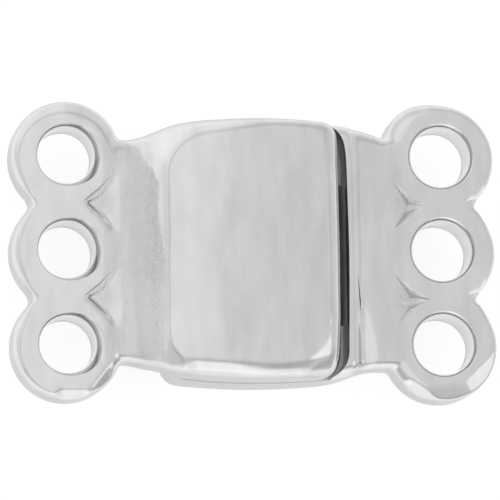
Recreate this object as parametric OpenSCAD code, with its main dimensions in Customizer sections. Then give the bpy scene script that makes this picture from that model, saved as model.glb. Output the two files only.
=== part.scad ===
// Three-strand magnetic clasp for a bracelet or necklace.
// Two castings lock together: the cover half carries the domed cover and sits on the tray half.
// Each casting ends in a bar of three loops, one for each strand, and holds one flat magnet.
// X runs along the strands, Y across them, and Z up. The clasp lies on its back at Z = 0.

/* [Strand loops] */
// Distance between neighbouring strand holes
hole_pitch = 4; // [3.9:0.05:4.1]
// Distance between the two rows of strand holes
hole_span = 15.9; // [15.6:0.1:16.2]
// Diameter of each strand hole
hole_d = 2.4; // [1.8:0.1:2.5]
// Width of the rounding at each rim of a hole
rim_r = 0.2; // [0.1:0.05:0.25]
// Outer diameter of each loop
loop_d = 4.65; // [4.3:0.05:4.8]
// Thickness of a loop bar
bar_t = 2; // [1.7:0.1:2.2]
// Radius of the hollow between two loops
notch_r = 0.45; // [0.35:0.05:0.5]

/* [Body] */
// Height of the closed clasp
total_h = 5; // [4.8:0.1:5.4]
// Width of the body at its middle
body_w = 11; // [10.8:0.1:11.3]
// How far each long side bows out
side_bow = 0.26; // [0.1:0.02:0.4]
// Width of the cover half's neck beside its loop bar
cover_neck_w = 9.4; // [9:0.1:9.6]
// Width of the tray half's neck beside its loop bar
tray_neck_w = 9.9; // [9.4:0.1:10.1]
// Height of the parting plane between the halves
parting_z = 2.35; // [2.2:0.05:2.5]

/* [Cover] */
// Length of the domed cover
cover_l = 7.4; // [7:0.1:7.6]
// Radius of the cover's upper edges
edge_r = 0.45; // [0.3:0.05:0.55]
// Radius of the cover's free corners, seen from above
corner_r = 0.65; // [0.6:0.05:0.9]
// Rise of the dome above the cover's edges
dome = 0.2; // [0.1:0.05:0.3]

/* [Tray] */
// Clear gap between the cover and the ridge of the tray
ridge_gap = 0.5; // [0.3:0.05:0.6]
// Height of the ridge
ridge_z = 3.95; // [3.8:0.05:4.1]
// Radius of the tray's lower edges
foot_r = 0.35; // [0.2:0.05:0.45]

/* [Magnets] */
// Width of each magnet, across the strands
magnet_w = 5.8; // [5.4:0.1:5.8]
// Length of each magnet, along the strands
magnet_l = 5.1; // [4.6:0.1:5.1]
// Thickness of each magnet
magnet_t = 1.4; // [1.2:0.1:1.4]

/* [Hidden] */
silver = [0.80, 0.81, 0.82];
nickel = [0.45, 0.46, 0.48];
cut = 1;

loop_r = loop_d / 2;
bar_x = hole_span / 2;
bar_z = (total_h - bar_t) / 2;
bar_top = bar_z + bar_t;

shoulder_x = 3.9;
neck_from = 3.2;
neck_to = 5.8;
neck_recess = 0.1;
neck_edge_r = 0.4;
lower_edge_r = 0.12;

parting_gap = 0.1;
cover_z = parting_z + parting_gap;
cover_start = -shoulder_x - 0.05;
cover_end = cover_start + cover_l;
step_l = 0.4;
step_z = bar_top + 0.6;

tray_start = -shoulder_x + 0.1;
tray_corner_r = 0.8;
ridge_x = cover_end + ridge_gap;
ridge_l = 0.35;

pocket_x = -2.6;
pocket_z = 0.6;
pocket_side = 0.1;
glue = 0.05;
magnet_x = pocket_x + pocket_side;
magnet_gap = 0.08;
magnet_corner = 0.25;
tray_magnet_z = pocket_z + glue;
cover_magnet_z = tray_magnet_z + magnet_t + magnet_gap;

// Share of the way through a soft S-curve
function smooth(t) = let (u = min(1, max(0, t))) u * u * (3 - 2 * u);

// How far an edge of radius r has drawn in at a distance d from the end face
function drawn_in(d, r) = d >= r ? 0 : r - sqrt(r * r - pow(r - d, 2));

// Half width of the body at a place along it. It bows out at the middle and flares down to the necks.
function half_width(x) =
    let (
        body = body_w / 2 - side_bow * pow(x / shoulder_x, 2),
        neck = (x < 0 ? cover_neck_w : tray_neck_w) / 2
    )
    body + (neck - body) * smooth((abs(x) - neck_from) / (neck_to - neck_from));

// Distance from a bar's middle line to the hollow between two loops
function notch_x() = sqrt(pow(loop_r + notch_r, 2) - pow(hole_pitch / 2, 2)) - notch_r;

// Place where a neck ends inside its bar, and where it starts to dip between the loops
function neck_root() = bar_x - notch_x() + 0.2;
function neck_dip() = neck_root() - 1.1;

// Points on an arc about [x, y] in the plane, from one angle to another
function arc(x, y, r, from, to, steps) =
    [for (i = [0:steps]) let (a = from + (to - from) * i / steps) [x + r * cos(a), y + r * sin(a)]];

// The points of one side of an outline, then the same points mirrored in the X or the Y direction
function mirrored(side, sx, sy) =
    concat(side, [for (i = [len(side) - 1:-1:0]) [sx * side[i][0], sy * side[i][1]]]);

// A closed solid through mirrored sections that all have the same number of points.
// The end faces are cut into strips between opposite points, or into a fan.
module loft(sections, strips = true) {
    n = len(sections[0]);
    m = len(sections);
    sides = [for (i = [0:m - 2], j = [0:n - 1])
        let (k = (j + 1) % n, a = i * n, b = a + n)
        each [[a + j, b + j, b + k], [a + j, b + k, a + k]]];
    cap = strips
        ? [for (j = [0:n / 2 - 2]) each [[j, j + 1, n - 1 - j], [j + 1, n - 2 - j, n - 1 - j]]]
        : [for (j = [1:n - 2]) [0, j, j + 1]];
    last = [for (f = cap) [f[2] + (m - 1) * n, f[1] + (m - 1) * n, f[0] + (m - 1) * n]];
    polyhedron(points = [for (s = sections) each s], faces = concat(cap, sides, last));
}

// Section across the body. A station is [x, half width, low z, high z, upper radius, lower radius, crown].
function section(s) =
    let (
        w = s[1], low = s[2], ru = s[4], rl = s[5], crown = s[6],
        flat = w - ru,
        eaves = s[3] - crown,
        side = concat(
            arc(w - rl, low + rl, rl, -90, 0, 3),
            arc(flat, eaves - ru, ru, 0, 90, 5),
            [for (t = [0.7, 0.4, 0.13]) [flat * t, s[3] - crown * t * t]]
        )
    )
    [for (p = mirrored(side, -1, 1)) [s[0], p[0], p[1]]];

// Outline of a loop bar seen from above, drawn in by an inset all round
function bar_outline(inset) =
    let (
        r = loop_r - inset,
        f = notch_r + inset,
        fx = notch_x() + notch_r,
        p = hole_pitch,
        q = atan2(p / 2, fx)
    )
    mirrored(concat(
        arc(0, -p, r, -84, q, 11),
        arc(fx, -p / 2, f, 165 + q, 195 - q, 3),
        arc(0, 0, r, -q, q, 7),
        arc(fx, p / 2, f, 165 + q, 195 - q, 3),
        arc(0, p, r, -q, 84, 11)
    ), -1, 1);

// Bar of three loops without its holes. Its upper edge has a rounding of its own width and depth.
module loop_bar(x, round_w, round_h) {
    lower = 0.2;
    levels = concat(
        [for (a = [90, 45, 0]) [lower * (1 - cos(a)), bar_z + lower * (1 - sin(a))]],
        [for (a = [0, 30, 60, 90]) [round_w * (1 - cos(a)), bar_top - round_h * (1 - sin(a))]]
    );
    translate([x, 0, 0])
        loft([for (l = levels) [for (p = bar_outline(l[0])) [p[0], p[1], l[1]]]]);
}

// The three strand holes of a bar, each with rounded rims
module strand_holes(x) {
    r = hole_d / 2;
    wide = r + rim_r;
    upper = [for (p = arc(wide, bar_top - rim_r, rim_r, 180, 90, 4)) p];
    lower = [for (p = arc(wide, bar_z + rim_r, rim_r, 270, 180, 4)) p];
    for (y = [-hole_pitch, 0, hole_pitch])
        translate([x, y, 0])
            rotate_extrude($fn = 96)
                polygon(concat([[0, bar_z - cut], [wide, bar_z - cut]], lower, upper,
                               [[wide, bar_top + cut], [0, bar_top + cut]]));
}

// Height of a neck's upper face. It leaves the bar almost flush and climbs to a given height at its far end.
function neck_top(x, end_x, end_z, power) =
    let (a = abs(x), start_z = bar_top - neck_recess, dip = neck_dip())
    a > dip
        ? start_z - 0.4 * bar_t * (a - dip) / (neck_root() - dip)
        : start_z + (end_z - start_z) * pow((dip - a) / (dip - end_x), power);

// Height of a neck's lower face. It runs in a ramp from a foot height near the body to the bar's underside.
function neck_low(x, foot_x, foot_z, ramp) =
    let (a = abs(x), low = bar_z + 2 * neck_recess, dip = neck_dip())
    a > dip
        ? low + 0.1 * bar_t * (a - dip) / (neck_root() - dip)
        : foot_z + (low - foot_z) * smooth((a - foot_x) / ramp);

// Height of the domed cover along its middle line
function dome_top(x) = total_h - dome * pow((x - (cover_start + cover_end) / 2) / (cover_l / 2), 2);

function cover_neck_station(x) =
    [x, half_width(x), neck_low(x, shoulder_x + 0.05, cover_z, 0.8), neck_top(x, shoulder_x, step_z, 2),
     neck_edge_r, lower_edge_r, 0.05];

function cover_dome_station(x) =
    let (
        from_step = x - cover_start,
        from_end = cover_end - x,
        climb = from_step < step_l ? 1 - pow(1 - from_step / step_l, 2) : 1,
        soft = edge_r + 0.5 * pow(max(0, 1 - from_step / 1.4), 2)
    )
    [x, half_width(x) - drawn_in(from_end, corner_r), cover_z,
     step_z + (dome_top(x) - step_z) * sqrt(climb) - drawn_in(from_end, edge_r),
     soft, lower_edge_r, 0.05 + (dome - 0.05) * climb];

// The neck and the domed cover, solid
module cover_body() {
    neck = [for (i = [0:6]) -neck_root() + (neck_root() + cover_start - 0.02) * i / 6];
    step = [for (a = [22.5:22.5:90]) cover_start + step_l * (1 - cos(a))];
    middle = [for (i = [1:6]) cover_start + step_l + (cover_l - step_l - corner_r) * i / 7];
    end = [for (a = [0:18:90]) cover_end - corner_r * (1 - sin(a))];
    loft(concat(
        [for (x = neck) section(cover_neck_station(x))],
        [for (x = concat(step, middle, end)) section(cover_dome_station(x))]
    ), strips = false);
}

// Box with its vertical edges cut off at 45 degrees
module block(l, w, h, c) {
    linear_extrude(h)
        polygon([[c, -w / 2], [l - c, -w / 2], [l, c - w / 2], [l, w / 2 - c],
                 [l - c, w / 2], [c, w / 2], [0, w / 2 - c], [0, c - w / 2]]);
}

// Half of the clasp with the domed cover. Its magnet sits in a pocket in the underside.
module cover_half() {
    pocket_h = cover_magnet_z + magnet_t + glue - cover_z;
    color(silver)
        difference() {
            union() {
                cover_body();
                loop_bar(-bar_x, 0.35, 0.4);
            }
            strand_holes(-bar_x);
            translate([magnet_x - glue, 0, cover_z - cut])
                block(magnet_l + 2 * glue, magnet_w + 2 * glue, pocket_h + cut, magnet_corner);
        }
}

function tray_station(x) =
    let (
        ridge_end = ridge_x + ridge_l,
        neck = neck_top(x, ridge_end, ridge_z - 0.1, 0.8),
        fall = smooth((x - ridge_end) / 0.3),
        thin = smooth((x - neck_dip() + 0.5) / 0.5)
    )
    [x, half_width(x) - drawn_in(x - tray_start, tray_corner_r),
     neck_low(x, shoulder_x - 0.2, 0, 1.3) + drawn_in(x - tray_start, foot_r),
     x > ridge_end ? ridge_z + (neck - ridge_z) * fall : ridge_z,
     neck_edge_r, foot_r + (lower_edge_r - foot_r) * thin, 0.05];

// The tray, its ridge and its neck before the seat for the cover is cut
module tray_block() {
    straight = ridge_x - tray_start - tray_corner_r;
    end = [for (a = [90:-18:0]) tray_start + tray_corner_r * (1 - sin(a))];
    middle = [for (i = [1:5]) tray_start + tray_corner_r + straight * i / 5];
    ridge = [for (i = [1:3]) ridge_x + (ridge_l + 0.3) * i / 3];
    neck = [for (i = [1:7]) ridge_x + ridge_l + 0.3 + (neck_root() - ridge_x - ridge_l - 0.3) * i / 7];
    loft([for (x = concat(end, middle, ridge, neck)) section(tray_station(x))], strips = false);
}

// Outline of the seat: the cover's own outline moved out by a gap
function seat_outline(gap) =
    let (
        r = corner_r + gap,
        x = cover_end + gap - r,
        y = half_width(x) + gap,
        start = cover_start - 0.6,
        side = [for (i = [0:3]) let (px = start + (x - 0.2 - start) * i / 3) [px, -half_width(px) - gap]]
    )
    mirrored(concat(side, arc(x, r - y, r, -90, 0, 7)), 1, -1);

// Space above the tray that the cover takes up, flared at the top to soften the ridge's edge
module seat() {
    flare = 0.15;
    levels = [
        [ridge_gap, parting_z],
        [ridge_gap, ridge_z - flare],
        [ridge_gap + flare + cut, ridge_z + cut]
    ];
    loft([for (l = levels) [for (p = seat_outline(l[0])) [p[0], p[1], l[1]]]]);
}

// Half of the clasp with the flat tray. A ridge and a neck join the tray to its loop bar.
module tray_half() {
    pocket_w = magnet_w + 2 * pocket_side;
    color(silver)
        difference() {
            union() {
                tray_block();
                loop_bar(bar_x, 0.15, 0.15);
            }
            strand_holes(bar_x);
            seat();
            translate([pocket_x, -pocket_w / 2, pocket_z])
                cube([ridge_x - 0.1 - pocket_x, pocket_w, parting_z - pocket_z + cut]);
        }
}

module magnet(z) {
    color(nickel)
        translate([magnet_x, 0, z])
            block(magnet_l, magnet_w, magnet_t, magnet_corner);
}

module cover_magnet() {
    magnet(cover_magnet_z);
}

module tray_magnet() {
    magnet(tray_magnet_z);
}

cover_half();
tray_half();
cover_magnet();
tray_magnet();
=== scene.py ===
"""Three-strand magnetic clasp: two polished castings that lie one on the other, each with three strand loops
and a magnet.

The shapes are worked in millimetres and brought to metres at the end, when a piece is finished.
X runs along the strands, Y across them, and Z up. The clasp lies on its back at Z = 0.
"""
from math import asin, atan2, cos, pi, radians, sin, sqrt

import bmesh
import bpy
from mathutils import Matrix, Vector, noise


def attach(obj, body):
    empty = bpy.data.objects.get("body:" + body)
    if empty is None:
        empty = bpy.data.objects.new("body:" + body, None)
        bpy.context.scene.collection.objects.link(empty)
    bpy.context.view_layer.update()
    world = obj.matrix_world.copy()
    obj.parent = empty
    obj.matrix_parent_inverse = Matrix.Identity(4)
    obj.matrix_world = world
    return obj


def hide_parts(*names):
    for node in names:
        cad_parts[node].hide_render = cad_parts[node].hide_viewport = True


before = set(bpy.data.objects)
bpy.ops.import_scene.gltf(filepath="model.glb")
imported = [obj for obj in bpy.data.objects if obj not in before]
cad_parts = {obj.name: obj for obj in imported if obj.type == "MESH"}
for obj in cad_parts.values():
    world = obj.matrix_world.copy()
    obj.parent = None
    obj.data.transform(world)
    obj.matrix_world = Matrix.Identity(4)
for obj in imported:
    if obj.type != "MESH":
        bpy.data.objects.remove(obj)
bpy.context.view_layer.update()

MM = 0.001

# Camera

# The photograph looks almost straight down, tipped 9.5 degrees to the left and 9 to the near side.
SIGHT = Vector((-0.16307, -0.15434, 0.97447))
PICTURE_RIGHT = Vector((0.98657, -0.01603, 0.16256))
PICTURE_UP = Vector((-0.00947, 0.98789, 0.15488))
FOCAL_LENGTH = 427.5

# In millimetres: the point looked at, how far away the camera stands, and how far it is moved sideways.
AIM = Vector((0, 0, 2.5))
CAMERA_FAR = 250
CAMERA_LEFT = 0.0842
CAMERA_UP = 0.1684

lens = bpy.data.cameras.new("photo_lens")
lens.sensor_width = 36
lens.lens = FOCAL_LENGTH
lens.clip_start = 0.01
lens.clip_end = 20
camera = bpy.data.objects.new("photo_camera", lens)
bpy.context.scene.collection.objects.link(camera)
stand = AIM + SIGHT * CAMERA_FAR - PICTURE_RIGHT * CAMERA_LEFT + PICTURE_UP * CAMERA_UP
turn = Matrix((PICTURE_RIGHT, PICTURE_UP, SIGHT)).transposed().to_4x4()
camera.matrix_world = Matrix.Translation(stand * MM) @ turn
bpy.context.scene.camera = camera

# Sizes, in millimetres

# Strand holes and the loops around them. A row is the place of a hole across the strands.
HOLE_PITCH = 4
HALF_PITCH = HOLE_PITCH / 2
ROWS = (-HOLE_PITCH, 0, HOLE_PITCH)
BETWEEN_ROWS = (-HALF_PITCH, HALF_PITCH)
HOLE_R = 1.2
RIM_R = 0.2
LOOP_R = 2.325
BAR_X = 7.95
BAR_LOW = 1.5
BAR_TOP = 3.5
BAR_FOOT_R = 0.22
NOTCH_R = 0.45
NOTCH_X = sqrt((LOOP_R + NOTCH_R) ** 2 - HALF_PITCH ** 2) - NOTCH_R
CUSP_IN = 0.05
HOLLOW_APEX = 7.1

# The strands have drawn the rims of the cover half towards its middle. The tray half's holes are worn wider,
# and a hair off the middle, with narrower rims.
COVER_WEAR = Vector((0.13, 0, 0))
TRAY_WEAR = Vector((0.02, 0.01, 0))
TRAY_HOLE_R = HOLE_R + 0.07
TRAY_HOLE_OFF = (0.04, 0.08)
TRAY_RIM_R = 0.13

# Body and necks.
TOTAL_H = 5
BODY_HALF = 5.5
SIDE_BOW = 0.26
SHOULDER_X = 3.9
FLARE_X = 3.2
FLARE_L = 2.6
COVER_NECK_HALF = 4.7
TRAY_NECK_HALF = 4.95
NECK_LOW = BAR_LOW + 0.2
NECK_TOP = 3.46
TRAY_NECK_TOP = NECK_TOP + 0.04
NECK_ROOT = 6.62
NECK_EDGE_R = 0.12

# Cover.
COVER_Z = 2.45
COVER_START = -3.95
COVER_END = 3.45
COVER_MIDDLE = (COVER_START + COVER_END) / 2
COVER_HALF = (COVER_END - COVER_START) / 2
COVER_CORNER_R = 0.65
COVER_EDGE_R = 0.3
CONTOUR_X = -3.9
CONTOUR_INSET = 0.6
END_FALL = 1.1
DOME = 0.2
DOME_HALF = 5

# Tray, its ridge and its seat for the cover.
TRAY_START = -3.8
TRAY_CORNER_R = 0.8
TRAY_EDGE_R = 0.4
FOOT_R = 0.35
PARTING_Z = 2.35
SEAT_GAP = 0.4
SEAT_SIDE = 0.08
RIDGE_X = 3.95
RIDGE_L = 0.12
RIDGE_Z = 3.88
RIDGE_END = RIDGE_X + RIDGE_L

# Magnets, each with its length, width and thickness, and their pockets.
MAGNET = (5.1, 5.8, 1.4)
MAGNET_CORNER_R = 0.25
MAGNET_EDGE_R = 0.09
MAGNET_X = -2.5
MAGNET_ROOM = 0.05
COVER_MAGNET_Z = 2.13
COVER_POCKET_TOP = 3.58
TRAY_MAGNET_Z = 0.65
TRAY_POCKET_LOW = 0.6
TRAY_POCKET_X = -2.6
TRAY_POCKET_HALF = 3

# Grid of the skin that is drawn over the joined parts, and the rounds of smoothing that it gets.
SKIN = 0.066
SMOOTHINGS = 11

# Steps round a strand hole, and the angle from which an edge stays crisp.
HOLE_STEPS = 112
CRISP_ANGLE = radians(32)


def smooth(t):
    """Share of the way through a soft S-curve."""
    u = min(1, max(0, t))
    return u * u * (3 - 2 * u)


def rounded_rise(d, soft):
    """Nothing below zero and d above it, with the bend between the two rounded."""
    return (d + sqrt(d * d + soft)) / 2


def drawn_in(d, r):
    """How far a rounded edge of radius r has drawn in at a distance d from the end face."""
    d = max(0, d)
    return 0 if d >= r else r - sqrt(r * r - (r - d) ** 2)


def between(a, b, n):
    """n + 1 even places from a to b."""
    return [a + (b - a) * i / n for i in range(n + 1)]


# Workshop


def piece(name, form):
    """Makes an object of a bmesh and frees it."""
    mesh = bpy.data.meshes.new(name)
    form.to_mesh(mesh)
    form.free()
    made = bpy.data.objects.new(name, mesh)
    bpy.context.scene.collection.objects.link(made)
    return made


def opened(made):
    """A bmesh of a piece's mesh, to be worked on and then closed."""
    form = bmesh.new()
    form.from_mesh(made.data)
    return form


def closed(made, form):
    """Gives a piece the mesh that was worked on."""
    form.to_mesh(made.data)
    form.free()


def settled(made):
    """Applies a piece's modifiers, so that its mesh is its final shape."""
    graph = bpy.context.evaluated_depsgraph_get()
    shape = bpy.data.meshes.new_from_object(made.evaluated_get(graph))
    made.modifiers.clear()
    rough, made.data = made.data, shape
    bpy.data.meshes.remove(rough)


def cut(made, tool):
    """Takes a tool's shape out of a piece."""
    bite = made.modifiers.new("cut", "BOOLEAN")
    bite.operation = "DIFFERENCE"
    bite.solver = "EXACT"
    bite.object = tool
    settled(made)
    bpy.data.objects.remove(tool)


def reskinned(made):
    """Draws one even skin over a piece."""
    skin = made.modifiers.new("skin", "REMESH")
    skin.mode = "VOXEL"
    skin.voxel_size = SKIN
    skin.adaptivity = 0
    skin.use_smooth_shade = True
    settled(made)


def loft(sections):
    """A closed form through sections that have the same number of points: a ring is extruded from one to the
    next."""
    form = bmesh.new()
    ring = bmesh.ops.create_circle(form, segments=len(sections[0]))["verts"]
    edges = list(form.edges)
    order = {v: i for i, v in enumerate(ring)}
    for v, i in order.items():
        v.co = sections[0][i]
    bmesh.ops.contextual_create(form, geom=edges)
    for section in sections[1:]:
        grown = bmesh.ops.extrude_edge_only(form, edges=edges)["geom"]
        verts = [g for g in grown if isinstance(g, bmesh.types.BMVert)]
        fresh = set(verts)
        edges = [g for g in grown if isinstance(g, bmesh.types.BMEdge) and all(v in fresh for v in g.verts)]
        follow = {}
        for v in verts:
            behind = next(e.other_vert(v) for e in v.link_edges if e.other_vert(v) in order)
            follow[v] = order[behind]
        order = follow
        for v, i in order.items():
            v.co = section[i]
    bmesh.ops.contextual_create(form, geom=edges)
    bmesh.ops.recalc_face_normals(form, faces=form.faces)
    return form


def bar_outline(inset, slide, share):
    """Outline of a loop bar seen from above, drawn in by an inset that narrows beside each notch, and slid.

    The share, from 0 to 1, sharpens the round notches to cusps."""
    lean = atan2(HALF_PITCH, NOTCH_X + NOTCH_R)
    cusp_r = LOOP_R - CUSP_IN
    cusp = asin(HALF_PITCH / cusp_r)
    points = []
    for ring, start, end, n in ((-1, -pi / 2, lean, 30), (0, -lean, lean, 20), (1, -lean, pi / 2, 30)):
        centre = ring * HOLE_PITCH
        for a in between(start, end, n):
            y = centre + LOOP_R * sin(a)
            free = smooth(abs(abs(y) - HALF_PITCH) / 1.1)
            r = LOOP_R - inset * free - CUSP_IN * share * (1 - free)
            drift = slide[1] * (0.25 + 0.75 * smooth((abs(y) - 3) / 2))
            points.append((r * cos(a), centre + r * sin(a) + drift))
        if ring < 1:
            middle = centre + HALF_PITCH
            for t in between(-1, 1, 8)[1:-1]:
                round_x, round_y = NOTCH_X + NOTCH_R - NOTCH_R * cos(t * lean), NOTCH_R * sin(t * lean)
                a = cusp + (lean - cusp) * abs(t)
                sharp_x, sharp_y = cusp_r * cos(a), (HALF_PITCH - cusp_r * sin(a)) * (1 if t > 0 else -1)
                x = round_x + (sharp_x - round_x) * share
                points.append((x, middle + round_y + (sharp_y - round_y) * share + slide[1] * 0.25))
    return [(px + slide[0], py) for px, py in points] + [(slide[0] - px, py) for px, py in reversed(points)]


# The bevel of a loop bar, from its side wall to its top face: the shares of its width and of its height.
BEVEL = (
    (0, 1.35),
    (0.03, 1.12),
    (0.12, 0.93),
    (0.3, 0.7),
    (0.6, 0.36),
    (0.82, 0.12),
    (0.93, 0.03),
    (1.08, 0),
)


def loop_bar(x, width, height, slide):
    """Bar of three loops. The top face has a flat bevel, and a slide makes the bevel wider at one end than
    at the other."""
    r = BAR_FOOT_R
    levels = [(r * (1 - sin(a)), BAR_LOW + r * (1 - cos(a)), (0, 0), 0) for a in between(0, pi / 2, 4)]
    levels += [(width * t, BAR_TOP - height * down, (slide[0] * t, slide[1] * t), t) for t, down in BEVEL]
    sections = []
    for inset, z, slid, share in levels:
        sections.append([(x + px, py, z) for px, py in bar_outline(inset, slid, min(1, share))])
    return piece("bar", loft(sections))


def hole_cutter(x, y, bore_r, rim_r, wear):
    """Cutter of one strand hole. Its upper rim flares out, and the strand has worn it out to one side."""
    wide = bore_r + rim_r
    # Radius and height of each rim's profile, outwards from the bar's top face and from its underside.
    upper = [
        (wide + 0.4, 1),
        (wide + 0.05, 0.03),
        (wide, -0.01),
        (wide - 0.03, -0.04),
        (bore_r + 0.04, 0.01 - rim_r),
        (bore_r + 0.015, -0.04 - rim_r),
        (bore_r, -0.12 - rim_r),
    ]
    lower = [
        (bore_r, -0.08),
        (bore_r + 0.01, -0.03),
        (bore_r + 0.03, 0.01),
        (bore_r + 0.4, 0.4),
        (bore_r + 0.4, 1),
    ]
    profile = [(0, BAR_LOW - 1)] + [(r, BAR_LOW - z) for r, z in reversed(lower)]
    profile += [(r, BAR_TOP + z) for r, z in reversed(upper)] + [(0, BAR_TOP + 1)]
    form = bmesh.new()
    line = [bmesh.ops.create_vert(form, co=(r, 0, z))["vert"][0] for r, z in profile]
    for a, b in zip(line, line[1:]):
        bmesh.ops.contextual_create(form, geom=[a, b])
    bmesh.ops.spin(
        form,
        geom=form.verts[:] + form.edges[:],
        cent=(0, 0, 0),
        axis=(0, 0, 1),
        angle=2 * pi,
        steps=HOLE_STEPS,
        use_merge=True,
    )
    bmesh.ops.remove_doubles(form, verts=form.verts, dist=0.0005)
    bmesh.ops.recalc_face_normals(form, faces=form.faces)
    for v in form.verts:
        r = v.co.xy.length
        if r > bore_r - 0.01 and v.co.z > BAR_TOP - 0.6:
            flared = min(1, (r - bore_r) / rim_r)
            share = max(0, v.co.xy.dot(wear.xy) / wear.length) / r
            v.co += share * (wear * flared - Vector((0, 0, wear.length)) * (1 - flared))
    bmesh.ops.translate(form, verts=form.verts, vec=(x, y, 0))
    return piece("hole_cutter", form)


def recess_cutter(side, y, mouth, floor, bow, lean):
    """Cutter of the three-cornered hollow between two loops and the neck, on one side of the clasp.

    Its floor climbs from a height at the apex to nothing at the mouth, with a bow, and its near wall leans
    out more and more."""
    reach = sqrt(HALF_PITCH ** 2 + (BAR_X - HOLLOW_APEX) ** 2)
    wall = [(HOLLOW_APEX, 0.02)]
    for x in between(HOLLOW_APEX, mouth, 10)[1:]:
        near = BAR_X - x
        wall.append((x, min(1.3, 0.04 + HALF_PITCH - sqrt(max(0, reach * reach - near * near)))))
    levels = []
    for lift in (0, 1):
        # The first level is the floor, and the second lies above the bar.
        far_side, near_side = [], []
        for x, half in wall:
            climb = ((x - mouth) / (HOLLOW_APEX - mouth)) ** bow
            z = (BAR_TOP - (BAR_TOP - floor) * climb) * (1 - lift) + (BAR_TOP + 0.6) * lift
            leaning = lean * lift * (HOLLOW_APEX - x) / (HOLLOW_APEX - mouth)
            far_side.append((side * x, y + half, z))
            near_side.append((side * x, y - half - leaning, z))
        levels.append(far_side + near_side[::-1])
    return piece("recess_cutter", loft(levels))


def chisel_cutter(y):
    """Cutter of the crisp facet along a loop's edge, on the far side of a left-hand hollow. It runs out into
    the hollow."""
    foot = ((-7.17, 0.08), (-6.6, 0.52), (-5.95, 1.25), (-6.35, 0.1))
    edge = ((-7.25, 0.06), (-6.66, 0.59), (-5.98, 1.33), (-6.33, 0.1))
    foot_z, climb, rise = 3.265, 0.15, 0.25
    levels = []
    for t in (0, 1, 1.6):
        level = []
        for (fx, fy), (ex, ey) in zip(foot, edge):
            level.append((fx + (ex - fx) * t, y + fy + (ey - fy) * t, foot_z + climb * fy + rise * t))
        levels.append(level)
    return piece("chisel_cutter", loft(levels))


def punch_cutter(corners, foot, top=BAR_TOP):
    """Cutter of a three-sided pit between corners seen from above, as a few blows of a punch leave it."""
    levels = []
    for t, z in ((0.04, foot[2]), (1, top), (1.25, top + 0.3)):
        levels.append([(foot[0] + (x - foot[0]) * t, foot[1] + (y - foot[1]) * t, z) for x, y in corners])
    return piece("punch_cutter", loft(levels))


def stroke_cutter(corners, point, normal):
    """Cutter of one file stroke: what lies above a plane, between corners seen from above."""
    levels = []
    for lift in (0, 1):
        level = []
        for x, y in corners:
            fall = ((x - point.x) * normal.x + (y - point.y) * normal.y) / normal.z
            level.append((x, y, point.z - fall + lift))
        levels.append(level)
    return piece("stroke_cutter", loft(levels))


def block_cutter(low, high):
    """Plain block from one corner to the other."""
    form = bmesh.new()
    bmesh.ops.create_cube(form, size=1)
    low, high = Vector(low), Vector(high)
    bmesh.ops.scale(form, verts=form.verts, vec=high - low)
    bmesh.ops.translate(form, verts=form.verts, vec=(low + high) / 2)
    return piece("block_cutter", form)


# Castings


def half_width(x):
    """Half width of the body. It bows out at the middle and flares down to the necks."""
    body = BODY_HALF - SIDE_BOW * (x / SHOULDER_X) ** 2
    neck = COVER_NECK_HALF if x < 0 else TRAY_NECK_HALF
    return body + (neck - body) * smooth((abs(x) - FLARE_X) / FLARE_L)


def higher(a, b, r):
    """The higher of two heights, with the crease between them filled where they are less than r apart."""
    return max(a, b) + r / 4 * max(0, 1 - abs(a - b) / r) ** 2


def neck_low(x, foot_x, foot_z, ramp):
    """Height of a neck's lower face. From its foot at the body it climbs along a ramp."""
    return foot_z + (NECK_LOW - foot_z) * smooth((abs(x) - foot_x) / ramp)


def section(x, half, low, high, upper_r, lower_r, roof):
    """One cross-section. roof(y) is how far the top lies below high at a place across."""
    flat = half - upper_r
    points = []
    for way in (1, -1):
        side = []
        for a in between(0, pi / 2, 4):
            side.append((half - lower_r + lower_r * sin(a), low + lower_r - lower_r * cos(a)))
        for a in between(0, pi / 2, 8):
            y = half - upper_r + upper_r * cos(a)
            side.append((y, high - roof(way * y) - upper_r * (1 - sin(a))))
        for t in between(0.985, 0.5, 24) + between(0.46, 0.04, 7):
            side.append((flat * t, high - roof(way * flat * t)))
        points += [(x, way * y, z) for y, z in side][::way]
    return points


def cover_top(x, y):
    """Height of the cover half's upper face.

    The domed top ends in a soft contour. Outside it the left end falls steeply to the neck, and the sides
    fall gently: the far shoulder narrows to nothing halfway along, and the near one starts flat at the left
    corner."""
    dome = TOTAL_H - DOME * ((x - COVER_MIDDLE) / COVER_HALF) ** 2 - DOME * (y / DOME_HALF) ** 2
    if y > 0:
        side_fall, soft, corner, neck_half = 0.6, 0.02, 1.75, 4.25
        inset = CONTOUR_INSET * (1 - smooth((x + 2.6) / 5.2))
    else:
        side_fall = 0.36 + 0.36 * smooth((x + 3.3) / 0.6) - 0.31 * smooth((x + 1.8) / 2.4)
        soft, corner, neck_half = 0.008, 1.05, 4.6
        inset = CONTOUR_INSET + 0.13 * smooth((x - 1) / 2)
    dx = CONTOUR_X + corner - x
    dy = abs(y) - (half_width(max(x, -3)) - inset - corner)
    if dx > 0 and dy > 0:
        out = sqrt(dx * dx + dy * dy)
        steep = sqrt((END_FALL * dx) ** 2 + (side_fall * dy) ** 2) / out
        out -= corner
    else:
        out = max(dx, dy) - corner
        steep = END_FALL if dx > dy else side_fall
    fall = steep * rounded_rise(out, soft)
    # The soft edge along the gap.
    fall += 0.5 * rounded_rise(x - 3, 0.012)
    # The soft facet at the right-hand near corner.
    if y < 0 and x > 0:
        facet = rounded_rise(0.26 * (x - 3.02) - 0.22 * (y + 4.05), 0.02)
        fall += facet * smooth((x - 1.8) / 0.8) * smooth((-y - 2.6) / 0.8)
    neck = NECK_TOP - 0.5 * rounded_rise(abs(y) - neck_half, 0.05)
    return higher(dome - fall, neck, 0.6)


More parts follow.
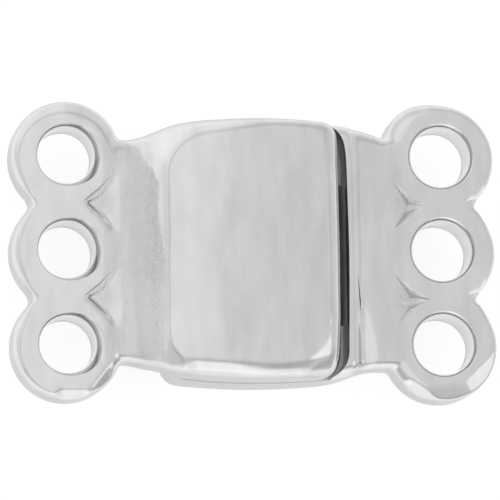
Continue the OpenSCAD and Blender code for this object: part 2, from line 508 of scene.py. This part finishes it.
def cover_sections():
    """Cross-sections of the cover and its neck, closest together where the end falls to the neck."""
    places = between(-NECK_ROOT, CONTOUR_X - 0.9, 12)
    places += between(CONTOUR_X - 0.9, CONTOUR_X + 1.8, 60)[1:]
    places += between(CONTOUR_X + 1.8, COVER_END - COVER_CORNER_R, 24)[1:]
    places += [COVER_END - COVER_CORNER_R * (1 - sin(a)) for a in between(0, pi / 2, 10)][1:]
    made = []
    for x in places:
        from_end = COVER_END - x
        half = half_width(x) - drawn_in(from_end, COVER_CORNER_R)
        high = cover_top(x, 0)
        low = neck_low(x, SHOULDER_X + 0.05, COVER_Z, ramp=0.8)
        top = high - drawn_in(from_end, COVER_EDGE_R)

        def roof(y):
            return high - cover_top(x, y)

        made.append(section(x, half, low, top, COVER_EDGE_R, NECK_EDGE_R, roof))
    return made


def crease(x, y):
    """Depth of the pressed-in crease at the foot of the ridge: a short steep wall on the ridge's side, and a
    long one towards the loops. It opens and deepens towards the near side."""
    along = smooth((-y - 0.8) / 3.4)
    wide = 0.08 + 0.54 * along
    place = (x - 4.34 - 0.1 * along) / wide
    return 0.2 * along * max(0, 1 - max(place, -5 * place)) if -0.2 < place < 1 else 0


def tray_sections():
    """Cross-sections of the tray, its ridge and its neck, before the seat is cut."""
    places = [TRAY_START + TRAY_CORNER_R * (1 - sin(a)) for a in between(pi / 2, 0, 10)]
    places += between(TRAY_START + TRAY_CORNER_R, RIDGE_X, 24)[1:]
    places += between(RIDGE_X, NECK_ROOT, 40)[1:]
    made = []
    for x in places:
        from_end = x - TRAY_START
        half = half_width(x) - drawn_in(from_end, TRAY_CORNER_R)
        low = neck_low(x, SHOULDER_X - 0.2, 0, ramp=1.3) + drawn_in(from_end, FOOT_R)
        neck = TRAY_NECK_TOP + 0.126 * max(0, 6.2 - max(x, RIDGE_END))
        top = max(neck, RIDGE_Z - 0.52 * max(0, x - RIDGE_END))
        foot = FOOT_R + (NECK_EDGE_R - FOOT_R) * smooth((x - 5.1) / 0.5)
        dome = 0.12 * (1 - smooth((x - 4.6) / 1.6))

        def roof(y):
            return dome * (y / DOME_HALF) ** 2 + crease(x, y)

        made.append(section(x, half, low, top, TRAY_EDGE_R, foot, roof))
    return made


def seat_side(way, flare):
    """Half of the seat's outline, from its open end round the corner to the middle of its end wall."""
    r = 1.15 if way < 0 else 1.0
    corner_x = COVER_END + SEAT_GAP - r
    corner_y = half_width(corner_x) + SEAT_SIDE - r
    wall = between(COVER_START - 0.6, corner_x - 0.1, 12)
    side = [(px, half_width(px) + SEAT_SIDE + flare) for px in wall]
    wide = r + flare
    side += [(corner_x + wide * cos(a), corner_y + wide * sin(a)) for a in between(pi / 2, 0, 14)]
    side += [(corner_x + wide, y) for y in between(corner_y, 0, 12)[1:-1]]
    # The gap is narrower at its far end.
    pull = 0.1 if way > 0 else 0
    return [(px - pull * smooth((y - 3.8) / 1.2) * smooth((px - 1.5) / 1.5), way * y) for px, y in side]


def seat_cutter():
    """Space above the tray that the cover takes up. The gap is widest at the end and narrows round the
    corners to the sides, and it flares at the top to soften the ridge's edge."""
    sections = []
    for flare, z in (
        (0, PARTING_Z),
        (0, RIDGE_Z - 0.12),
        (0.02, RIDGE_Z - 0.06),
        (0.07, RIDGE_Z + 0.01),
        (1.07, RIDGE_Z + 1.01),
    ):
        sections.append([(x, y, z) for x, y in seat_side(-1, flare) + seat_side(1, flare)[::-1]])
    return piece("seat_cutter", loft(sections))


def fused(name, parts, hollows):
    """Makes one skin over parts that overlap, as they are cast in one, less the hollows, and smooths it as
    polishing does."""
    form = bmesh.new()
    for part in parts:
        form.from_mesh(part.data)
        bpy.data.objects.remove(part)
    made = piece(name, form)
    reskinned(made)
    for hollow in hollows:
        cut(made, hollow)
    reskinned(made)
    form = opened(made)
    for _ in range(SMOOTHINGS):
        bmesh.ops.smooth_vert(
            form, verts=form.verts, factor=0.5, use_axis_x=True, use_axis_y=True, use_axis_z=True
        )
    closed(made, form)
    return made


def swell(p, size, seed):
    """Soft noise between about -1 and 1, whose swells are so many millimetres long."""
    return noise.noise(Vector(p) / size + Vector((seed, seed * 0.7, -seed)))


def hand_polished(made, ruts, worn, flats):
    """Works the skin by hand: soft wear, long swells from the polishing wheel, and the as-cast places that
    it missed.

    ruts(p) gives how rough a place was left, from 0 to 1, and worn(p) how the wheel moved it. Each flat is a
    plane that the loops were filed down to: a point, a normal, how far it reaches and how fast it then runs
    out."""
    form = opened(made)
    form.normal_update()
    for v in form.verts:
        p = v.co.copy()
        move = 0.010 * swell(p, 2.2, 3.1) + 0.004 * swell(p, 0.9, 7.7)
        move += ruts(p) * (0.014 * swell(p, 0.42, 1.9) + 0.009 * swell(p, 0.2, 5.3))
        v.co += v.normal * move + worn(p)
        for point, normal, reach, end in flats:
            aside = abs(v.co.x - point.x)
            above = (v.co - point).dot(normal) - end * max(0, aside - reach)
            if above > -0.06 and aside < 3 and v.co.z > 2:
                v.co -= normal * rounded_rise(above, 0.0008)
    closed(made, form)


def bore_light_share(p, x):
    """How brightly a place in a strand hole is painted as lit, from 0 at its foot, left in painted shade, to
    1 higher up.
    """
    near = min((p.xy - Vector((x, y))).length for y in ROWS)
    return smooth((p.z - 1.7) / 0.5) if near < HOLE_R + 0.35 else 0


def finished(made, ruts, inside, bore_x):
    """Marks the as-cast places, whose grey is also painted shade in the hollows, the inner places, which are
    painted lighter, and the painted light and shade on the strand holes' walls for the material, keeps the
    cut edges crisp and brings the piece to metres."""
    form = opened(made)
    cast = form.verts.layers.float.new("as_cast")
    inner = form.verts.layers.float.new("inner")
    bore_lit = form.verts.layers.float.new("bore_painted_light")
    for v in form.verts:
        v[cast] = ruts(v.co)
        v[inner] = inside(v.co)
        # Painted light on the upper walls of the strand holes, and painted shade at their feet.
        v[bore_lit] = bore_light_share(v.co, bore_x)
    bmesh.ops.scale(form, verts=form.verts, vec=(MM, MM, MM))
    closed(made, form)
    made.data.shade_smooth()
    made.data.set_sharp_from_angle(angle=CRISP_ANGLE)
    return made


def recess(p, side):
    """How far the polishing wheel missed the hollows between the loops and the neck, from 0 to 1. Through
    the plate's grey it also paints shade into the hollows.
    """
    x = side * p.x
    near = min(((x - 6.5) / 0.8) ** 2 + ((abs(p.y) - HALF_PITCH) / 0.75) ** 2, 4)
    return max(0, 1 - near) if p.z > 2.6 else 0


def cover_half():
    """Casting with the domed cover. Its flats are filed on the near loop."""
    body = piece("body", loft(cover_sections()))
    bar = loop_bar(-BAR_X, width=0.37, height=0.3, slide=(-0.06, -0.24))
    hollows = [recess_cutter(-1, y, mouth=5.7, floor=3.1, bow=0.9, lean=2.4) for y in BETWEEN_ROWS]
    made = fused("cover_casting", [body, bar], hollows)

    def ruts(p):
        # The band beside the cover that the wheel missed, with a ragged edge on either side.
        edge = -4.12 + 0.27 * smooth((1.5 - p.y) / 2.5)
        edge = edge - 0.28 * max(0, p.y - 2.4) ** 1.9 - 0.05 * max(0, -p.y - 2)
        edge = edge + 0.1 * swell(p, 0.8, 4.4) + 0.09 * swell(p, 0.25, 8.2)
        band = smooth((p.x + 5.8 + 0.25 * swell(p, 1.1, 6.6)) / 0.5) * smooth((edge - p.x) / 0.16)
        if p.z > 3:
            band = band * (0.7 + 0.3 * smooth((p.y + 2.2) / 1.5)) * smooth((p.y + 4.8) / 0.3)
        else:
            band = 0
        return max(0.6 * recess(p, -1), band)

    def worn(p):
        # The top of the bar droops towards its end.
        return Vector((0, 0, -0.055 * max(0, -p.x - 6.4) * smooth(p.z - 2.2)))

    flats = [
        (Vector((-6.75, -5.67, 3.42)), Vector((0.42, -0.36, 0.83)).normalized(), 0.55, 0.9),
        (Vector((-7.75, -5.98, 3.36)), Vector((-0.04, -0.62, 0.79)).normalized(), 0.5, 0.3),
    ]
    hand_polished(made, ruts, worn, flats)
    for y in BETWEEN_ROWS:
        cut(made, chisel_cutter(y))
    for y in ROWS:
        cut(made, hole_cutter(-BAR_X, y, HOLE_R, RIM_R, COVER_WEAR))
    pocket_start, pocket_end = MAGNET_X - MAGNET_ROOM, MAGNET_X + MAGNET[0] + MAGNET_ROOM
    pocket_half = MAGNET[1] / 2 + MAGNET_ROOM
    low = (pocket_start, -pocket_half, COVER_Z - 1)
    cut(made, block_cutter(low, (pocket_end, pocket_half, COVER_POCKET_TOP)))

    # The magnet pocket. Its whiter colour is painted light.
    def inside(p):
        if abs(p.y) > pocket_half + 0.05 or p.x < pocket_start - 0.05 or p.x > pocket_end + 0.05:
            return 0
        return 1 if COVER_Z + 0.03 < p.z < COVER_POCKET_TOP + 0.02 else 0

    return finished(made, ruts, inside, -BAR_X)


# Punch marks in the tray half's hollows: the corners of each, and its foot.
PUNCH_MARKS = (
    (((5.95, 2.9), (7.3, 1.98), (6.45, 1.7)), (6.6, 2.12, 3.27)),
    (((6.2, 1.8), (7.15, 1.95), (5.95, 1.0)), (6.45, 1.62, 3.32)),
    (((5.95, -1.05), (7.4, -2.02), (6.4, -2.05)), (6.68, -1.83, 3.27)),
    (((6.1, -2.1), (7.25, -2.08), (6.05, -3.0)), (6.5, -2.38, 3.31)),
)

# The thin split at the bottom of the crease.
SPLIT = (((4.28, -0.95), (4.44, -2.4), (4.39, -3.1)), (4.37, -2.1, 3.56), 3.75)


def tray_half():
    """Casting with the flat tray and the ridge. Its flats are filed on the near loop."""
    block = piece("block", loft(tray_sections()))
    bar = loop_bar(BAR_X, width=0.29, height=0.22, slide=(0.2, 0.08))
    hollows = [recess_cutter(1, y, mouth=6.12, floor=3.33, bow=1, lean=0.8) for y in BETWEEN_ROWS]
    made = fused("tray_casting", [block, bar], hollows)

    def ruts(p):
        return recess(p, 1)

    def worn(p):
        # The far side of the neck stands out beside the ridge and is hollowed beside the loop.
        far = smooth((p.y - 3.6) / 1.2)
        stands_out = 0.13 * smooth(p.x - 3) * smooth((5.5 - p.x) / 0.9)
        hollowed = 0.12 * smooth((p.x - 5.2) / 0.5) * smooth((6.2 - p.x) / 0.5)
        move = Vector((0, far * (stands_out - hollowed), 0))
        # The far loop bulges out to the left.
        out = p.xy - Vector((BAR_X, HOLE_PITCH))
        if out.y > -0.3 and out.length > 1.8:
            bulge = max(0, 1 - ((atan2(out.y, out.x) - 2.35) / 0.95) ** 2) ** 2
            move += (0.24 * bulge * smooth((out.length - 1.8) / 0.45) * out.normalized()).to_3d()
        return move

    flats = [
        (Vector((9.15, -5.14, 3.5)), Vector((0.2, -0.21, 0.957)).normalized(), 3, 0),
        (Vector((8.2, -5.53, 3.5)), Vector((0.04, -0.29, 0.956)).normalized(), 1.4, 0.5),
        (Vector((7.28, -5.98, 3.36)), Vector((-0.46, -0.68, 0.57)).normalized(), 0.75, 0.35),
    ]
    hand_polished(made, ruts, worn, flats)
    for corners, foot in PUNCH_MARKS:
        cut(made, punch_cutter(corners, foot))
    # One file stroke on each of two loops, beside the outer notch on its near side.
    for y in ROWS[1:]:
        corners = ((9.02, y - 1.83), (9.8, y - 0.97), (9.95, y - 1.65))
        cut(made, stroke_cutter(corners, Vector((9.344, y - 1.463, 3.5)), Vector((0.2, -0.21, 0.957))))
    cut(made, punch_cutter(*SPLIT))
    off_x, off_y = TRAY_HOLE_OFF
    for y in ROWS:
        cut(made, hole_cutter(BAR_X + off_x, y + off_y, TRAY_HOLE_R, TRAY_RIM_R, TRAY_WEAR))
    cut(made, seat_cutter())
    low = (TRAY_POCKET_X, -TRAY_POCKET_HALF, TRAY_POCKET_LOW)
    cut(made, block_cutter(low, (RIDGE_X - 0.1, TRAY_POCKET_HALF, PARTING_Z + 1)))

    # The seat, the gap up the ridge's wall, and the pocket. Their whiter colour is painted light.
    def inside(p):
        if p.x > RIDGE_X + 0.05 or p.z < TRAY_POCKET_LOW - 0.1:
            return 0
        if p.z < PARTING_Z - 0.02:
            return 1 if abs(p.y) < TRAY_POCKET_HALF + 0.05 and p.x > TRAY_POCKET_X - 0.05 else 0
        return 1 - smooth((p.z - 3.3) / 0.4)

    return finished(made, ruts, inside, BAR_X)


def magnet(name, z):
    """Pressed and sintered block with tumbled edges."""
    form = bmesh.new()
    bmesh.ops.create_cube(form, size=1)
    bmesh.ops.scale(form, verts=form.verts, vec=MAGNET)
    upright = [e for e in form.edges if abs(e.verts[0].co.z - e.verts[1].co.z) > 0.1]
    bmesh.ops.bevel(
        form,
        geom=upright,
        offset=MAGNET_CORNER_R,
        offset_type="OFFSET",
        segments=6,
        profile=0.5,
        affect="EDGES",
        material=-1,
    )
    flat = [e for e in form.edges if abs(e.verts[0].co.z - e.verts[1].co.z) < 0.01]
    bmesh.ops.bevel(
        form,
        geom=flat,
        offset=MAGNET_EDGE_R,
        offset_type="OFFSET",
        segments=4,
        profile=0.5,
        affect="EDGES",
        material=-1,
        clamp_overlap=True,
    )
    bmesh.ops.translate(form, verts=form.verts, vec=(MAGNET_X + MAGNET[0] / 2, 0, z + MAGNET[2] / 2))
    bmesh.ops.scale(form, verts=form.verts, vec=(MM, MM, MM))
    made = piece(name, form)
    made.data.shade_smooth()
    return made


# Materials

# sRGB colours. The clouds of the plate run between the first two.
PLATE_DARK = "D7D7D7"
PLATE_LIGHT = "E2E2E2"
# Grey of the as-cast skin. In the hollows between the loops and the neck it is also painted shade.
PLATE_MISSED_AND_HOLLOW_SHADE = "D3D3D3"
# Painted light: the whiter colour of the gap and the magnet pockets, which lifts their shade.
PLATE_INSIDE_PAINTED_LIGHT = "F1F1F1"
NICKEL = "C2BDB4"
TABLE_GREY = "A4A4A4"


def tint(code):
    """An sRGB hex colour as the linear colour that a shader takes."""
    parts = [int(code[i:i + 2], 16) / 255 for i in (0, 2, 4)]
    return tuple(c / 12.92 if c <= 0.04045 else ((c + 0.055) / 1.055) ** 2.4 for c in parts) + (1,)


def add(tree, kind, values=(), links=()):
    """Adds a node, sets its properties and sockets, and links its inputs.

    Sockets that share a name are given by number. On Map Range, 1 to 4 are the two ends that go in and the
    two that come out, and on Mix, 6 and 7 are the two colours."""
    made = tree.nodes.new(kind)
    for name, value in dict(values).items():
        if isinstance(name, int) or name in made.inputs:
            made.inputs[name].default_value = value
        else:
            setattr(made, name, value)
    for name, source in dict(links).items():
        tree.links.new(source, made.inputs[name])
    return made


def blank_material(name):
    """A material whose node tree is empty."""
    made = bpy.data.materials.new(name)
    made.use_nodes = True
    made.node_tree.nodes.clear()
    return made


def polished_silver_plate():
    """Silver plate on a brass casting, polished by hand on a wheel: an almost white mirror with a faint
    haze, soft swells, and a dull, pitted skin where the wheel didn't reach, whose grey in the hollows is
    also painted shade. The inside is painted lighter, and the strand holes' walls carry painted light above
    painted shade at their feet."""
    made = blank_material("polished_silver_plate")
    tree = made.node_tree

    def mark(name):
        """Share of one of the marks that a piece carries, from 0 to 1."""
        return add(tree, "ShaderNodeAttribute", {"attribute_name": name}).outputs["Fac"]

    place = add(tree, "ShaderNodeTexCoord").outputs["Object"]
    # The marks: the as-cast skin, whose grey is also painted shade in the hollows; the inside, painted
    # lighter; and the painted light and shade on the strand holes' walls.
    rough, inner, worn = mark("as_cast"), mark("inner"), mark("bore_painted_light")
    # Clouding of the plate, about 0.7 mm wide and 2 mm long across the strands, as the rag wiped it.
    look = {"Scale": (1400, 480, 900)}
    wiped = add(tree, "ShaderNodeMapping", look, {"Vector": place}).outputs["Vector"]
    look = {"Scale": 1, "Detail": 3, "Roughness": 0.55}
    cloud = add(tree, "ShaderNodeTexNoise", look, {"Vector": wiped}).outputs["Fac"]
    # Cast grain, about 0.12 mm, on the places that the wheel missed.
    look = {"Scale": 8000, "Detail": 3, "Roughness": 0.6}
    grain = add(tree, "ShaderNodeTexNoise", look, {"Vector": place}).outputs["Fac"]
    # Fine polishing lines along X. Real ones are about 0.03 mm apart, and these 0.07 mm, so that they show.
    look = {"Scale": (900, 14000, 9000)}
    drawn = add(tree, "ShaderNodeMapping", look, {"Vector": place}).outputs["Vector"]
    look = {"Scale": 1, "Detail": 2, "Roughness": 0.5}
    lines = add(tree, "ShaderNodeTexNoise", look, {"Vector": drawn}).outputs["Fac"]
    # The clouds are hazy, and the missed places and the inside are duller.
    dull = add(tree, "ShaderNodeMapRange", {1: 0.3, 2: 0.7, 3: 0.10, 4: 0.17}, {0: cloud}).outputs["Result"]
    for share, amount in ((rough, 0.22), (inner, 0.55)):
        look = {"operation": "MULTIPLY_ADD", 1: amount}
        dull = add(tree, "ShaderNodeMath", look, {0: share, 2: dull}).outputs["Value"]
    tone = add(tree, "ShaderNodeMapRange", {1: 0.3, 2: 0.7, 3: 0.0, 4: 1.0}, {0: cloud}).outputs["Result"]
    look = {"data_type": "RGBA", 6: tint(PLATE_DARK), 7: tint(PLATE_LIGHT)}
    colour = add(tree, "ShaderNodeMix", look, {0: tone}).outputs[2]
    # The skin that the wheel missed is a little grey, and in the hollows that grey is also painted shade.
    # The inside is painted whiter: painted light that lifts the shaded gap and pockets.
    for share, code in ((rough, PLATE_MISSED_AND_HOLLOW_SHADE), (inner, PLATE_INSIDE_PAINTED_LIGHT)):
        look = {"data_type": "RGBA", 7: tint(code)}
        colour = add(tree, "ShaderNodeMix", look, {0: share, 6: colour}).outputs[2]
    # The film on the plate dims what it mirrors at a glancing angle. On the strand holes' walls it is lifted
    # to full above the foot and left dim at the foot: painted light above, painted shade at the foot.
    look = {"data_type": "RGBA", 6: (0.75, 0.75, 0.75, 1), 7: (1, 1, 1, 1)}
    glance = add(tree, "ShaderNodeMix", look, {0: worn}).outputs[2]
    look = {"Strength": 0.05, "Distance": 0.00001}
    polish = add(tree, "ShaderNodeBump", look, {"Height": lines}).outputs["Normal"]
    links = {"Height": grain, "Strength": rough, "Normal": polish}
    pits = add(tree, "ShaderNodeBump", {"Distance": 0.00003}, links).outputs["Normal"]
    links = {"Base Color": colour, "Specular Tint": glance, "Roughness": dull, "Normal": pits}
    shader = add(tree, "ShaderNodeBsdfPrincipled", {"Metallic": 1.0}, links)
    add(tree, "ShaderNodeOutputMaterial", {}, {"Surface": shader.outputs["BSDF"]})
    return made


def nickel_plated_magnet():
    """Barrel-plated nickel on a sintered magnet: warmer and darker than the silver, with an orange-peel
    haze."""
    made = blank_material("nickel_plated_magnet")
    tree = made.node_tree
    place = add(tree, "ShaderNodeTexCoord").outputs["Object"]
    # Orange peel of about 0.3 mm, and clouds of about 1 mm.
    look = {"Scale": 3500, "Detail": 2, "Roughness": 0.5}
    peel = add(tree, "ShaderNodeTexNoise", look, {"Vector": place}).outputs["Fac"]
    cloud = add(tree, "ShaderNodeTexNoise", {"Scale": 900, "Detail": 2}, {"Vector": place}).outputs["Fac"]
    haze = add(tree, "ShaderNodeMapRange", {1: 0.3, 2: 0.7, 3: 0.22, 4: 0.34}, {0: cloud}).outputs["Result"]
    look = {"Strength": 0.25, "Distance": 0.00002}
    skin = add(tree, "ShaderNodeBump", look, {"Height": peel}).outputs["Normal"]
    look = {"Metallic": 1.0, "Base Color": tint(NICKEL)}
    shader = add(tree, "ShaderNodeBsdfPrincipled", look, {"Roughness": haze, "Normal": skin})
    add(tree, "ShaderNodeOutputMaterial", {}, {"Surface": shader.outputs["BSDF"]})
    return made


# Light and floor

# Levels of the tent's cloth: the axis that a level follows, where it starts to change and where it has
# changed, and what it adds before and after.
TENT_LEVELS = (
    # Bright on the left, dimmer on the right, and dimmer again far to the right.
    ("X", 0.045, 0.085, 0.955, 0.825),
    ("X", 0.1, 0.4, 0, -0.05),
    # The dim ring around the opening that the camera looks through, and brighter cloth below it.
    ("Z", 0.87, 0.79, 0, -0.18),
    ("Z", 0.7, 0.45, 0, 0.2),
    ("Z", 0.25, 0.1, 0, 0.1),
    # Brighter cloth at the back, and low down in front.
    ("Y", 0.2, 0.6, 0, 0.06),
    ("Y", -0.66, -0.84, 0, 0.25),
)

# Patches of the cloth: the direction of each, the cosines of the angles from it at which the patch starts
# and is full, and what it adds. The first four are dim, the fifth lightens the ring high on the right, and
# the last is the lamp.
TENT_PATCHES = (
    ((0.1, -0.6, 0.79), 0.93, 0.98, -0.1),
    ((-0.65, -0.6, 0.35), 0.8, 0.95, -0.22),
    ((0.84, -0.53, 0), 0.84, 0.94, -0.25),
    ((-0.98, 0.15, 0.07), 0.86, 0.97, -0.12),
    ((0.68, 0.154, 0.717), 0.952, 0.982, 0.11),
    ((0.64, -0.25, 0.73), 0.965, 0.988, 0.55),
)

# Half the width of the table, in metres.
TABLE_HALF = 0.4


def light_tent():
    """White cloth tent with a few levels of light, and one small lamp high on the right."""
    world = bpy.data.worlds.new("light_tent")
    bpy.context.scene.world = world
    world.use_nodes = True
    tree = world.node_tree
    tree.nodes.clear()
    way = add(tree, "ShaderNodeTexCoord").outputs["Generated"]
    axes = add(tree, "ShaderNodeSeparateXYZ", {}, {"Vector": way}).outputs

    def ramp(source, start, end, low, high):
        look = {"interpolation_type": "SMOOTHSTEP", 1: start, 2: end, 3: low, 4: high}
        return add(tree, "ShaderNodeMapRange", look, {0: source}).outputs["Result"]

    parts = [ramp(axes[axis], *rest) for axis, *rest in TENT_LEVELS]
    for direction, start, full, level in TENT_PATCHES:
        look = {"operation": "DOT_PRODUCT", 1: Vector(direction).normalized()}
        near = add(tree, "ShaderNodeVectorMath", look, {0: way}).outputs["Value"]
        parts.append(ramp(near, start, full, 0, level))
    total = parts[0]
    for part in parts[1:]:
        total = add(tree, "ShaderNodeMath", {"operation": "ADD"}, {0: total, 1: part}).outputs["Value"]
    cloth = add(tree, "ShaderNodeBackground", {"Color": (1, 1, 1, 1)}, {"Strength": total})
    add(tree, "ShaderNodeOutputWorld", {}, {"Surface": cloth.outputs["Background"]})


def white_table():
    """Plain white table of opal acrylic, lit a little from below, so that it burns out to white."""
    form = bmesh.new()
    bmesh.ops.create_grid(form, x_segments=1, y_segments=1, size=TABLE_HALF)
    table = piece("white_table", form)
    made = blank_material("opal_acrylic")
    tree = made.node_tree
    look = {
        "Base Color": tint(TABLE_GREY),
        "Roughness": 0.6,
        "Specular IOR Level": 0.2,
        "Emission Color": (1, 1, 1, 1),
        "Emission Strength": 0.75,
    }
    shader = add(tree, "ShaderNodeBsdfPrincipled", look)
    add(tree, "ShaderNodeOutputMaterial", {}, {"Surface": shader.outputs["BSDF"]})
    table.data.materials.append(made)


light_tent()
white_table()
bpy.context.scene.view_settings.view_transform = "Standard"

# The clasp

silver = polished_silver_plate()
nickel = nickel_plated_magnet()

for made, node, body, slot, finish in (
    (cover_half(), "cover_half", "cover", "plated_casting", silver),
    (tray_half(), "tray_half", "tray", "plated_casting", silver),
    (magnet("cover_magnet_block", COVER_MAGNET_Z), "cover_magnet", "cover", "plated_magnet", nickel),
    (magnet("tray_magnet_block", TRAY_MAGNET_Z), "tray_magnet", "tray", "plated_magnet", nickel),
):
    made.data.materials.append(finish)
    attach(made, body)
    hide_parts(node)
